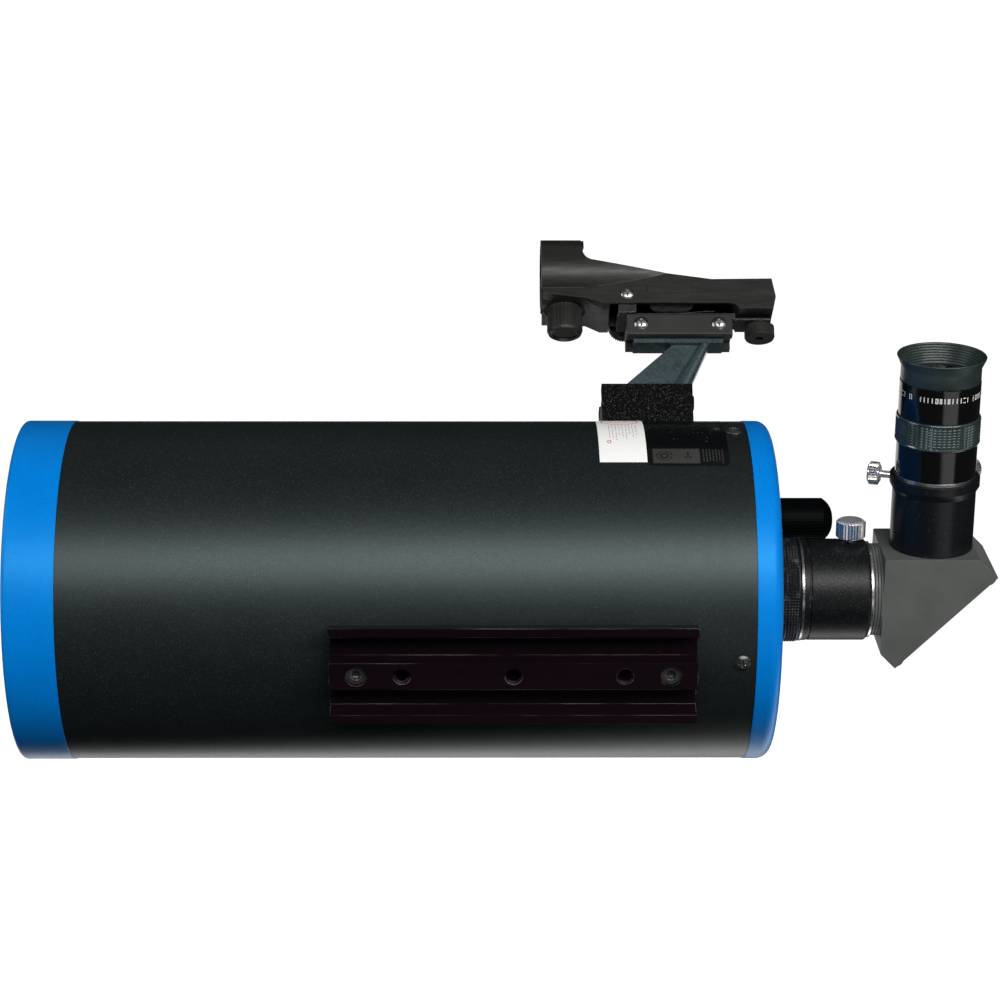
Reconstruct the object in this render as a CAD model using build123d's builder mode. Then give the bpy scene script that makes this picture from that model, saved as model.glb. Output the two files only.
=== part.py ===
from build123d import *

import os
from math import cos, pi, radians, sin, sqrt

# A compact catadioptric telescope, in millimetres, with its diagonal, eyepiece and red-dot finder.
# +X runs along the optical axis to the rear, +Z is up and +Y points away from the dovetail side.
# The origin is the centre of the dovetail plate's mounting face.

# ---- driving dimensions ----
tube_radius = 74.0
tube_wall = 2.0
tube_front = -190.2
tube_rear = 101.5
ring_front = -212.3
cell_rear = 112.6
cell_proud = 0.25
corrector_front = -204.0
corrector_thick = 4.5
retainer_thick = 2.5
aperture_radius = 63.5

plate_length = 152.0
plate_width = 43.5
plate_height = 13.4
plate_bolt_pitch = 130.0
plate_hole_pitch = 46.0
tapped_radius = 2.6

# Leans are measured about the optical axis from straight up, positive towards +Y.
plate_lean = -112.5
finder_lean = 22.5
diagonal_lean = -20.0
back_screw_lean = -17.5
cell_screw_leans = [-112.5, -22.5, 67.5, 157.5]
focus_lean = 35.8
focus_offset = 37.6

nose_radius = 15.875
socket_radius = 15.93
running_gap = 0.06
body_gap = 0.3

bend_x = 184.2
half_housing = 19.7
holder_top = 54.2
holder_screw_height = 51.6

finder_pivot_x = 53.8
finder_pivot_height = 139.0
finder_pan_x = 92.0
altitude_x = 114.7
brightness_x = 25.5

# The optical axis stands off from the mounting face by the tube and the plate.
plate_face = tube_radius + plate_height
axis_y = -plate_face * sin(radians(plate_lean))
axis_z = -plate_face * cos(radians(plate_lean))


# ---- planes ----
def side_of(lean):
    """Unit vector square to the optical axis and to this lean, pointing away from the dovetail side."""
    return Vector(0, cos(radians(lean)), -sin(radians(lean)))


def out_of(lean):
    """Unit vector straight out from the optical axis at this lean."""
    return Vector(0, sin(radians(lean)), cos(radians(lean)))


def place(x, height=0.0, lean=0.0, side=0.0):
    """Point at x along the optical axis, this far out at this lean, and this far sideways."""
    return Vector(x, axis_y, axis_z) + out_of(lean) * height + side_of(lean) * side


def across(x, lean=0.0):
    """Plane square to the optical axis at x, facing the rear, with its local y along the lean."""
    return Plane(place(x), x_dir=side_of(lean), z_dir=(1, 0, 0))


def outward(x, height, lean=0.0, side=0.0):
    """Plane facing straight out at this lean, with its local x to the rear and its local y sideways."""
    return Plane(place(x, height, lean, side), x_dir=(1, 0, 0), z_dir=out_of(lean))


def lengthwise(lean=0.0, side=0.0):
    """Plane along the optical axis facing the dovetail side; local x to the rear, local y outward."""
    return Plane(place(0, 0, lean, side), x_dir=(1, 0, 0), z_dir=-side_of(lean))


def sideways(x, height, lean, side):
    """Plane facing away from the dovetail side, with its local x to the rear."""
    return Plane(place(x, height, lean, side), x_dir=(1, 0, 0), z_dir=side_of(lean))


def holder_screw_plane(angle, reach):
    """Plane facing out of the eyepiece holder's collar at an angle from the rear, this far from its axis."""
    aim = Vector(cos(radians(angle)), 0, 0) + side_of(diagonal_lean) * sin(radians(angle))
    centre = place(bend_x, holder_screw_height, diagonal_lean)
    return Plane(centre + aim * reach, x_dir=out_of(diagonal_lean), z_dir=aim)


# ---- shared shapes ----
def turn(face, outline, mode=Mode.ADD):
    """Spin an outline of (height, radius) points about the normal of a plane."""
    half = Plane(face.origin, x_dir=face.z_dir, z_dir=face.y_dir)
    with BuildSketch(half) as section:
        with BuildLine():
            Polyline(*outline, close=True)
        make_face()
    revolve(section.sketch, axis=Axis(face.origin, face.z_dir), mode=mode)


def rod(face, radius, length, mode=Mode.ADD):
    """Round bar standing on a plane."""
    with BuildSketch(face) as section:
        Circle(radius)
    extrude(section.sketch, amount=length, mode=mode)


def block(face, size_x, size_y, length, mode=Mode.ADD):
    """Rectangular bar standing on a plane."""
    with BuildSketch(face) as section:
        Rectangle(size_x, size_y)
    extrude(section.sketch, amount=length, mode=mode)


def panel(face, outline, half_width, mode=Mode.ADD):
    """Outline of points extruded by half its width to both sides of a plane."""
    with BuildSketch(face) as section:
        with BuildLine():
            Polyline(*outline, close=True)
        make_face()
    extrude(section.sketch, amount=half_width, both=True, mode=mode)


def fluted(face, radius, length, flutes, depth, mode=Mode.ADD):
    """Round grip with straight flutes, standing on a plane."""
    with BuildSketch(face) as section:
        Circle(radius)
        with PolarLocations(radius, flutes):
            Rectangle(2 * depth, pi * radius / flutes, mode=Mode.SUBTRACT)
    extrude(section.sketch, amount=length, mode=mode)


def cross_screw(face, head_radius, head_height, shank_radius, shank_length):
    """Domed cross-recess screw, with the plane under its head."""
    half = Plane(face.origin, x_dir=face.z_dir, z_dir=face.y_dir)
    rim = 0.35 * head_height
    with BuildSketch(half) as section:
        with BuildLine():
            Line((0, 0), (0, head_radius))
            Line((0, head_radius), (rim, head_radius))
            ThreePointArc((rim, head_radius), (0.82 * head_height, 0.6 * head_radius), (head_height, 0))
            Line((head_height, 0), (0, 0))
        make_face()
    revolve(section.sketch, axis=Axis(face.origin, face.z_dir))
    for recess in ((1.1, 0.28), (0.28, 1.1)):
        slot = face.offset(0.45 * head_height)
        block(slot, recess[0] * head_radius, recess[1] * head_radius, head_height, Mode.SUBTRACT)
    rod(face.offset(-shank_length), shank_radius, shank_length)


def thumb_screw(face, shank_radius, shank_length, head_radius, head_height, flutes):
    """Knurled screw, with the plane under its head and its shank below."""
    rim = 0.6
    fluted(face.offset(rim), head_radius, head_height - 2 * rim, flutes, 0.35)
    turn(face, [(0, 0), (0, head_radius - 1.2), (rim, head_radius - 0.4), (rim, 0)])
    top = [(0, 0), (0, head_radius - 0.4), (rim, head_radius - 1.0), (rim, 0)]
    turn(face.offset(head_height - rim), top)
    rod(face.offset(-shank_length), shank_radius, shank_length)


# ---- front cell and corrector ----
corrector_rear = corrector_front + corrector_thick
retainer_front = corrector_front - retainer_thick
seat = corrector_rear + 0.5
ring_radius = tube_radius + cell_proud
tube_bore = tube_radius - tube_wall
pocket_radius = 67.2
rim_radius = 71.9

with BuildPart() as front_cell:
    outline = [
        (ring_front, rim_radius),
        (ring_front, ring_radius),
        (tube_front, ring_radius),
        (tube_front, tube_bore - 0.05),
        (tube_front + 14, tube_bore - 0.05),
        (tube_front + 14, tube_bore - 2.5),
        (seat + 9, tube_bore - 2.5),
        (seat + 4, aperture_radius),
        (seat, aperture_radius),
        (seat, pocket_radius),
        (corrector_front, pocket_radius),
        (corrector_front, rim_radius),
    ]
    turn(across(0), outline)
    rim_edge = front_cell.edges().filter_by(GeomType.CIRCLE).group_by(Axis.X)[0].sort_by(SortBy.RADIUS)[-1]
    fillet(rim_edge, radius=1.6)
    for lean in range(0, 360, 60):
        rod(Plane(place(corrector_front, 69.5, lean), z_dir=(1, 0, 0)), 1.0, 6, Mode.SUBTRACT)

with BuildPart() as corrector_plate:
    turn(
        across(0),
        [
            (corrector_front, 20.2),
            (corrector_rear, 20.2),
            (corrector_rear, 67.0),
            (corrector_front, 67.0),
        ],
    )

with BuildPart() as corrector_gasket:
    turn(
        across(0),
        [
            (corrector_rear, aperture_radius),
            (seat, aperture_radius),
            (seat, 67.0),
            (corrector_rear, 67.0),
        ],
    )

with BuildPart() as corrector_retainer:
    turn(
        across(0),
        [
            (retainer_front, aperture_radius + 0.8),
            (corrector_front, aperture_radius),
            (corrector_front, rim_radius - 0.1),
            (retainer_front, rim_radius - 0.1),
        ],
    )
    for lean in range(0, 360, 60):
        rod(Plane(place(retainer_front, 69.5, lean), z_dir=(1, 0, 0)), 1.05, 6, Mode.SUBTRACT)

with BuildPart() as retainer_screws:
    for lean in range(0, 360, 60):
        head = Plane(place(retainer_front, 69.5, lean), x_dir=(0, 1, 0), z_dir=(-1, 0, 0))
        cross_screw(head, 1.9, 0.9, 0.95, 7.5)

# ---- secondary mirror in the corrector's centre ----
holder_rear = corrector_rear + 5.0
mirror_disc = corrector_rear + 8.0
with BuildPart() as secondary_holder:
    outline = [
        (retainer_front, 0),
        (retainer_front, 23.0),
        (retainer_front + 0.8, 24.0),
        (corrector_front, 24.0),
        (corrector_front, 20.0),
        (holder_rear, 20.0),
        (holder_rear, 18.2),
        (corrector_front + 1.0, 18.2),
        (corrector_front + 1.0, 0),
    ]
    turn(across(0), outline)
    for lean in (0, 120, 240):
        rod(Plane(place(retainer_front, 11.0, lean), z_dir=(1, 0, 0)), 1.6, 5, Mode.SUBTRACT)

with BuildPart() as collimation_plate:
    rod(across(holder_rear - 1.5), 17.6, 3.5)
    for lean in (0, 120, 240):
        rod(Plane(place(holder_rear - 1.5, 11.0, lean), z_dir=(1, 0, 0)), 1.55, 2.5, Mode.SUBTRACT)

with BuildPart() as collimation_screws:
    for lean in (0, 120, 240):
        head = Plane(place(retainer_front, 11.0, lean), x_dir=(0, 1, 0), z_dir=(-1, 0, 0))
        cross_screw(head, 2.6, 1.3, 1.5, 12.0)

with BuildPart() as secondary_mirror:
    rod(across(holder_rear + 2.0), 17.0, 5.5)
    # The mirror face bulges a little towards the primary.
    with Locations(Plane(place(holder_rear + 7.5 - 95.0))):
        Sphere(96.5, mode=Mode.INTERSECT)

with BuildPart() as secondary_baffle:
    outline = [
        (corrector_rear, 20.1),
        (corrector_rear, 24.0),
        (corrector_rear + 3, 24.0),
        (corrector_rear + 4, 22.0),
        (corrector_rear + 30, 20.6),
        (corrector_rear + 30, 19.6),
        (corrector_rear + 4, 20.1),
    ]
    turn(across(0), outline)

# ---- tube and rear cell ----
cell_screw_x = 95.6
shoe_screw_xs = [49.4, 73.4]
plate_bolts = [-plate_bolt_pitch / 2, plate_bolt_pitch / 2]
with BuildPart() as main_tube:
    with BuildSketch(across(tube_front)):
        Circle(tube_radius)
        Circle(tube_bore, mode=Mode.SUBTRACT)
    extrude(amount=tube_rear - tube_front)
    for lean in cell_screw_leans:
        rod(outward(cell_screw_x, tube_bore - 3, lean), 1.6, 10, Mode.SUBTRACT)
    for x in plate_bolts:
        rod(outward(x, tube_bore - 3, plate_lean), 2.55, 10, Mode.SUBTRACT)
    for x in shoe_screw_xs:
        rod(outward(x, tube_bore - 3, finder_lean), 2.05, 10, Mode.SUBTRACT)

back_wall = 4.5
cell_inside = cell_rear - back_wall
focus_bush_radius = 7.0
with BuildPart() as rear_cell:
    outline = [
        (tube_rear - 13, tube_bore - 0.05),
        (tube_rear, tube_bore - 0.05),
        (tube_rear, ring_radius),
        (cell_rear, ring_radius),
        (cell_rear, 20.05),
        (cell_inside, 20.05),
        (cell_inside, 65.0),
        (cell_inside - 4.5, tube_bore - 2.5),
        (tube_rear - 13, tube_bore - 2.5),
    ]
    turn(across(0), outline)
    back_edge = rear_cell.edges().filter_by(GeomType.CIRCLE).group_by(Axis.X)[-1].sort_by(SortBy.RADIUS)[-1]
    fillet(back_edge, radius=5.5)
    rod(
        Plane(place(cell_inside - 1, focus_offset, focus_lean), z_dir=(1, 0, 0)),
        focus_bush_radius + 0.05,
        back_wall + 2,
        Mode.SUBTRACT,
    )
    for lean in cell_screw_leans:
        rod(outward(cell_screw_x, tube_bore - 4, lean), 1.5, 8, Mode.SUBTRACT)

with BuildPart() as cell_screws:
    for lean in cell_screw_leans:
        cross_screw(outward(cell_screw_x, tube_radius + 0.02, lean), 3.3, 1.9, 1.45, 4.0)

# ---- primary mirror on its sliding carrier, with the baffle it slides on ----
baffle_radius = 19.0
mirror_front = 52.0
mirror_back = 70.0
mirror_curve = 520.0
baffle_bore = 16.5
with BuildPart() as primary_baffle:
    outline = [
        (-30, 13.8),
        (-30, 15.0),
        (18, 17.0),
        (30, baffle_radius),
        (cell_inside - 4, baffle_radius),
        (cell_inside - 4, 24.0),
        (cell_inside, 24.0),
        (cell_inside, 20.0),
        (cell_rear, 20.0),
        (cell_rear, 18.5),
        (cell_rear + 5.4, 18.5),
        (cell_rear + 5.4, baffle_bore),
        (28, baffle_bore),
    ]
    turn(across(0), outline)

carrier_bore = baffle_radius + running_gap
carrier_front = 45.0
carrier_rear = 80.0
sleeve_radius = 22.0
nut_rear = 93.5
shaft_radius = 3.0
with BuildPart() as mirror_carrier:
    outline = [
        (carrier_front, carrier_bore),
        (carrier_front, sleeve_radius),
        (mirror_back, sleeve_radius),
        (mirror_back, 34.0),
        (mirror_back + 4, 34.0),
        (mirror_back + 4, 23.0),
        (carrier_rear, 23.0),
        (carrier_rear, carrier_bore),
    ]
    turn(across(0), outline)
    # The arm that the focus shaft drives stands out from the carrier's flange.
    with BuildSketch(Plane(place(mirror_back, 0, 0), x_dir=side_of(focus_lean), z_dir=(1, 0, 0))):
        with Locations((0, 31)):
            Rectangle(14, 14)
        with Locations((0, focus_offset)):
            Circle(7.0)
    extrude(amount=6)
    nut = Plane(place(mirror_back, focus_offset, focus_lean), z_dir=(1, 0, 0))
    rod(nut, 5.5, nut_rear - mirror_back)
    rod(nut.offset(-1), shaft_radius + running_gap, nut_rear - mirror_back + 2, Mode.SUBTRACT)

with BuildPart() as primary_mirror:
    # The front is a shallow bowl inside a flat rim, and a hole lets the light through to the eyepiece.
    mirror_hole = sleeve_radius + 0.1
    bowl = [(mirror_front - r**2 / (2 * mirror_curve), r) for r in (mirror_hole, 40.0, 56.0)]
    with BuildSketch(lengthwise()):
        with BuildLine():
            ThreePointArc(*bowl)
            Line(bowl[2], (bowl[2][0], 65.0))
            Line((bowl[2][0], 65.0), (mirror_back, 65.0))
            Line((mirror_back, 65.0), (mirror_back, mirror_hole))
            Line((mirror_back, mirror_hole), bowl[0])
        make_face()
    revolve(axis=Axis(place(0), (1, 0, 0)))

lock_rear = mirror_front - 0.8
lock_front = lock_rear - 4.5
with BuildPart() as mirror_lock_ring:
    turn(
        across(0),
        [(lock_front, 22.05), (lock_front, 27.0), (lock_rear, 27.0), (lock_rear, 22.05)],
    )

# ---- focuser ----
knob_rear = 144.4
knob_radius = 9.8
knob_front = cell_rear + 1.2
# The tip stays clear of the mirror's back at the rear end of its travel.
shaft_tip = mirror_back + 10.4
focus_face = Plane(place(0, focus_offset, focus_lean), x_dir=(0, 1, 0), z_dir=(1, 0, 0))
with BuildPart() as focus_bushing:
    outline = [
        (cell_inside - 2.5, shaft_radius + running_gap),
        (cell_inside - 2.5, 9.0),
        (cell_inside, 9.0),
        (cell_inside, focus_bush_radius),
        (cell_rear + 0.7, focus_bush_radius),
        (cell_rear + 0.7, shaft_radius + running_gap),
    ]
    turn(focus_face, outline)

with BuildPart() as focus_shaft:
    outline = [
        (shaft_tip, 0),
        (shaft_tip, shaft_radius),
        (cell_inside - 4.0, shaft_radius),
        (cell_inside - 4.0, 6.5),
        (cell_inside - 2.8, 6.5),
        (cell_inside - 2.8, shaft_radius),
        (knob_rear - 8, shaft_radius),
        (knob_rear - 8, 0),
    ]
    turn(focus_face, outline)

with BuildPart() as focus_knob:
    fluted(focus_face.offset(knob_front + 1), knob_radius, 25.0, 44, 0.45)
    dome_foot = knob_front + 26.0
    half = Plane(focus_face.origin, x_dir=(1, 0, 0), z_dir=focus_face.y_dir)
    with BuildSketch(half):
        with BuildLine():
            Line((dome_foot, 0), (dome_foot, knob_radius - 0.1))
            ThreePointArc((dome_foot, knob_radius - 0.1), (knob_rear - 1.3, 6.6), (knob_rear, 0))
            Line((knob_rear, 0), (dome_foot, 0))
        make_face()
    revolve(axis=Axis(focus_face.origin, (1, 0, 0)))
    turn(focus_face, [(knob_front, 0), (knob_front, 9.2), (knob_front + 1, 9.2), (knob_front + 1, 0)])
    rod(focus_face.offset(knob_front - 1), 3.02, knob_rear - 8 - knob_front + 1, Mode.SUBTRACT)

# ---- rear port, union ring and visual back ----
neck_rear = 122.3
ring_radius_outer = 23.2
union_front = 113.4
union_rear = 125.9
with BuildPart() as rear_neck:
    outline = [
        (cell_rear, 18.52),
        (cell_rear, 21.0),
        (neck_rear, 21.0),
        (neck_rear, baffle_bore),
        (cell_rear + 5.4, baffle_bore),
        (cell_rear + 5.4, 18.52),
    ]
    turn(across(0), outline)

with BuildPart() as coupling_ring:
    fluted(across(union_front + 2.2), ring_radius_outer, union_rear - union_front - 3.0, 72, 0.4)
    outline = [
        (union_front, 18.8),
        (union_front, 21.8),
        (union_front + 2.2, ring_radius_outer - 0.5),
        (union_front + 2.2, 18.8),
    ]
    turn(across(0), outline)
    outline = [
        (union_rear - 0.8, 18.8),
        (union_rear - 0.8, ring_radius_outer - 0.5),
        (union_rear, ring_radius_outer - 0.9),
        (union_rear, 18.8),
    ]
    turn(across(0), outline)
    rod(across(union_front - 1), 18.3 + body_gap, 20, Mode.SUBTRACT)
    rod(across(union_front - 1), 21.0 + running_gap, 124.5 - union_front + 1, Mode.SUBTRACT)

with BuildPart() as union_washer:
    turn(
        across(0),
        [(union_rear + body_gap, 18.35), (union_rear + body_gap, 22.7), (127.2, 22.7), (127.2, 18.35)],
    )

barrel_radius = 22.35
barrel_rear = 155.8
back_screw_x = 148.9
with BuildPart() as visual_back:
    outline = [
        (neck_rear, socket_radius),
        (neck_rear, 20.5),
        (124.2, 20.5),
        (124.2, 18.3),
        (127.2, 18.3),
        (127.2, barrel_radius + 0.1),
        (129.6, barrel_radius + 0.1),
        (129.8, barrel_radius - 0.7),
        (130.4, barrel_radius - 0.7),
        (130.6, barrel_radius),
        (barrel_rear - 0.6, barrel_radius),
        (barrel_rear, barrel_radius - 0.6),
        (barrel_rear, socket_radius),
    ]
    turn(across(0), outline)
    rod(outward(back_screw_x, 10, back_screw_lean), 2.0 + running_gap, 20, Mode.SUBTRACT)

with BuildPart() as visual_back_screw:
    thumb_screw(outward(back_screw_x, 23.8, back_screw_lean), 2.0, 7.6, 6.0, 8.5, 36)

# ---- star diagonal ----
nose_front = 126.0
flange_front = barrel_rear + body_gap
flange_rear = flange_front + 1.2
housing_front = 161.6
corner_high = (housing_front, 21.2)
corner_rear_top = (202.8, 21.2)
corner_rear = (211.0, 13.0)
corner_low = (168.3, -29.7)
corner_front_low = (housing_front, -22.9)
cover_thick = 2.4
cover_step = cover_thick / sqrt(2)
seam_rear = (corner_rear[0] - cover_step, corner_rear[1] + cover_step)
seam_low = (corner_low[0] - cover_step, corner_low[1] + cover_step)
with BuildPart() as diagonal_nose:
    outline = [
        (nose_front, 13.4),
        (nose_front, 15.3),
        (nose_front + 0.6, nose_radius),
        (nose_front + 6, nose_radius),
        (nose_front + 6.6, nose_radius - 0.5),
        (nose_front + 13.4, nose_radius - 0.5),
        (nose_front + 14, nose_radius),
        (flange_front, nose_radius),
        (flange_front, 20.9),
        (flange_front + 0.4, 21.3),
        (flange_rear, 21.3),
        (flange_rear, 16.5),
        (166.0, 16.5),
        (166.0, 13.4),
    ]
    turn(across(0), outline)

with BuildPart() as diagonal_housing:
    panel(
        lengthwise(diagonal_lean),
        [corner_high, corner_rear_top, seam_rear, seam_low, corner_front_low],
        half_housing,
    )
    long_edges = diagonal_housing.edges().filter_by(Axis(place(0), side_of(diagonal_lean)))
    fillet(long_edges.group_by(Axis.X)[0], radius=0.8)
    boss = [(flange_rear, 16.55), (flange_rear, 20.3), (housing_front, 20.3), (housing_front, 16.55)]
    turn(across(0), boss)
    for step in range(3):
        groove = flange_rear + 0.8 + 1.3 * step
        cut = [(groove, 19.6), (groove - 0.4, 20.9), (groove + 0.4, 20.9)]
        turn(across(0), cut, Mode.SUBTRACT)
    panel(
        lengthwise(diagonal_lean),
        [(166.0, 18.2), (202.5, 18.2), (207.8, 12.9), (168.0, -26.9), (166.0, -24.9)],
        16.5,
        Mode.SUBTRACT,
    )
    rod(across(flange_rear - 1), 16.55, 12, Mode.SUBTRACT)
    rod(outward(bend_x, 10, diagonal_lean), 17.0, 20, Mode.SUBTRACT)

with BuildPart() as diagonal_prism:
    panel(
        lengthwise(diagonal_lean),
        [(bend_x - 17.8, -17.8), (bend_x + 17.8, 17.8), (bend_x - 17.8, 17.8)],
        16.2,
    )

cover_middle = ((corner_rear[0] + corner_low[0]) / 2, (corner_rear[1] + corner_low[1]) / 2)
cover_aim = Vector(1, 0, 0) - out_of(diagonal_lean)
cover_face = Plane(
    place(cover_middle[0], cover_middle[1], diagonal_lean),
    x_dir=side_of(diagonal_lean),
    z_dir=cover_aim,
)
with BuildPart() as diagonal_cover:
    panel(lengthwise(diagonal_lean), [corner_rear, corner_low, seam_low, seam_rear], half_housing)
    with Locations(cover_face.offset(-cover_thick)):
        with GridLocations(35.4, 54.0, 2, 2):
            Cylinder(1.25, 3 * cover_thick, mode=Mode.SUBTRACT)

with BuildPart() as cover_screws:
    for u in (-17.7, 17.7):
        for v in (-27.0, 27.0):
            spot = cover_face.origin + cover_face.x_dir * u + cover_face.y_dir * v
            seat_plane = Plane(spot, x_dir=cover_face.x_dir, z_dir=cover_face.z_dir)
            cross_screw(seat_plane, 2.1, 0.9, 1.2, cover_thick - 0.1)

holder_radius = 18.1
collar_radius = 19.5
holder_foot = 18.2
front_screw_angle = 163
rear_screw_angle = 38
with BuildPart() as eyepiece_holder:
    outline = [
        (holder_foot, socket_radius),
        (holder_foot, 16.95),
        (corner_high[1], 16.95),
        (corner_high[1], holder_radius),
        (47.0, holder_radius),
        (48.6, holder_radius + 0.5),
        (50.1, collar_radius),
        (holder_top - 0.5, collar_radius),
        (holder_top, collar_radius - 0.5),
        (holder_top, 17.1),
        (holder_top - 0.9, socket_radius),
    ]
    turn(outward(bend_x, 0, diagonal_lean), outline)
    for angle in (front_screw_angle, rear_screw_angle):
        rod(holder_screw_plane(angle, 12), 1.6 + running_gap, 12, Mode.SUBTRACT)

# The front screw is backed out a little further than the rear one.
screw_tip = 16.1
front_reach = 23.6
rear_reach = 20.0
with BuildPart() as holder_screw_front:
    thumb_screw(holder_screw_plane(front_screw_angle, front_reach), 1.6, front_reach - screw_tip, 4.6, 5.6, 30)

with BuildPart() as holder_screw_rear:
    thumb_screw(holder_screw_plane(rear_screw_angle, rear_reach), 1.6, rear_reach - screw_tip, 4.6, 5.6, 30)

# ---- eyepiece ----
eyepiece_face = outward(bend_x, 0, diagonal_lean)
eyepiece_radius = 17.5
barrel_outer = nose_radius - 0.025
shoulder_foot = holder_top + 0.1
shoulder_radius = eyepiece_radius - 0.2
body_foot = 55.2
grip_low = 69.5
grip_high = 81.8
top_high = 96.9
with BuildPart() as eyepiece_barrel:
    outline = [
        (27.0, 14.2),
        (27.0, barrel_outer - 0.4),
        (27.4, barrel_outer),
        (shoulder_foot, barrel_outer),
        (shoulder_foot, shoulder_radius),
        (body_foot, shoulder_radius),
        (body_foot, 14.2),
        (52.0, 14.2),
        (52.0, 10.5),
        (51.0, 10.5),
        (50.0, 14.2),
    ]
    turn(eyepiece_face, outline)

with BuildPart() as eyepiece_body:
    outline = [
        (body_foot, 14.1),
        (body_foot, eyepiece_radius),
        (grip_low, eyepiece_radius),
        (grip_low, 16.6),
        (grip_high, 16.6),
        (grip_high, 14.1),
    ]
    turn(eyepiece_face, outline)

with BuildPart() as eyepiece_grip:
    outline = [
        (grip_low + 0.05, 16.62),
        (grip_low + 0.05, 17.9),
        (grip_low + 0.6, 18.4),
        (grip_high - 0.65, 18.4),
        (grip_high - 0.1, 17.9),
        (grip_high - 0.1, 16.62),
    ]
    turn(eyepiece_face, outline)

with BuildPart() as eyepiece_top:
    outline = [
        (grip_high, 12.1),
        (grip_high, eyepiece_radius),
        (top_high, eyepiece_radius),
        (top_high, 15.0),
        (top_high + 3.0, 15.0),
        (top_high + 3.0, 11.0),
        (top_high + 0.6, 11.0),
        (top_high + 0.6, 12.1),
    ]
    turn(eyepiece_face, outline)

with BuildPart() as eyecup:
    outline = [
        (top_high + 0.05, 15.02),
        (top_high + 0.05, 17.3),
        (103.2, 17.3),
        (107.7, 19.2),
        (108.0, 18.8),
        (107.4, 18.1),
        (106.4, 18.0),
        (106.2, 17.3),
        (104.9, 17.2),
        (104.7, 16.5),
        (103.4, 16.4),
        (103.2, 15.8),
        (101.9, 15.7),
        (101.7, 15.02),
    ]
    turn(eyepiece_face, outline)

with BuildPart() as field_lens:
    rod(eyepiece_face.offset(61.0), 14.0, 9.0)
    with Locations(Plane(eyepiece_face.offset(61.0 + 38.0).origin)):
        Sphere(38.0, mode=Mode.INTERSECT)

with BuildPart() as eye_lens:
    rod(eyepiece_face.offset(88.0), 12.0, 9.4)
    with Locations(Plane(eyepiece_face.offset(97.4 - 34.0).origin)):
        Sphere(34.0, mode=Mode.INTERSECT)

# ---- dovetail plate ----
half_plate = plate_width / 2
rib = 6.0
groove_floor = plate_face - 8.2
flank_foot = half_plate - 2.3
with BuildPart() as dovetail_plate:
    with BuildSketch(across(-plate_length / 2, plate_lean)):
        with BuildLine():
            Polyline(
                (-half_plate, plate_face),
                (-flank_foot, groove_floor - 0.6),
                (-16.5, groove_floor - 3.0),
                (-16.5, tube_radius - 4),
                (16.5, tube_radius - 4),
                (16.5, groove_floor - 3.0),
                (flank_foot, groove_floor - 0.6),
                (half_plate, plate_face),
                (half_plate - 4, plate_face),
                (half_plate - 5.2, groove_floor),
                (rib, groove_floor),
                (rib, plate_face),
                (-rib, plate_face),
                (-rib, groove_floor),
                (-half_plate + 5.2, groove_floor),
                (-half_plate + 4, plate_face),
                close=True,
            )
        make_face()
    extrude(amount=plate_length)
    rod(across(-plate_length), tube_radius + 0.02, 2 * plate_length, Mode.SUBTRACT)
    for x in (-plate_hole_pitch, 0, plate_hole_pitch):
        rod(outward(x, plate_face - 12, plate_lean), tapped_radius, 13, Mode.SUBTRACT)
        mouth = [(plate_face - 1, 0), (plate_face - 1, tapped_radius), (plate_face, 3.6), (plate_face, 0)]
        turn(outward(x, 0, plate_lean), mouth, Mode.SUBTRACT)
    for x in plate_bolts:
        rod(outward(x, plate_face - 6.4, plate_lean), 4.3, 7, Mode.SUBTRACT)
        rod(outward(x, tube_radius - 2, plate_lean), 2.55, 20, Mode.SUBTRACT)

with BuildPart() as plate_screws:
    for x in plate_bolts:
        under_head = outward(x, plate_face - 6.4, plate_lean)
        rod(under_head, 4.1, 5.0)
        with BuildSketch(under_head.offset(2.2)) as socket:
            RegularPolygon(2.4, 6)
        extrude(socket.sketch, amount=4, mode=Mode.SUBTRACT)
        rod(under_head.offset(-10.0), 2.5, 10.0)

# ---- labels, each a thin bent sheet on the tube ----
label_thick = 0.15


def bent_sheet(front, rear, low_lean, high_lean, inner, thick):
    """Thin sheet wrapped on a cylinder about the optical axis, between two leans."""
    with BuildSketch(across(front, high_lean)) as section:
        with BuildLine():
            CenterArc((0, 0), inner, 90, high_lean - low_lean)
            CenterArc((0, 0), inner + thick, 90, high_lean - low_lean)
            Line((0, inner), (0, inner + thick))
            spread = radians(90 + high_lean - low_lean)
            Line(
                (inner * cos(spread), inner * sin(spread)),
                ((inner + thick) * cos(spread), (inner + thick) * sin(spread)),
            )
        make_face()
    extrude(section.sketch, amount=rear - front)


with BuildPart() as caution_label:
    bent_sheet(37.0, 57.2, -41.7, 9.0, tube_radius + 0.01, label_thick)

with BuildPart() as spec_label:
    bent_sheet(57.6, 92.0, -43.4, 9.0, tube_radius + 0.01, label_thick)
    corners = spec_label.edges().filter_by(lambda edge: edge.length < 2 * label_thick)
    fillet(corners, radius=2.5)

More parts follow.
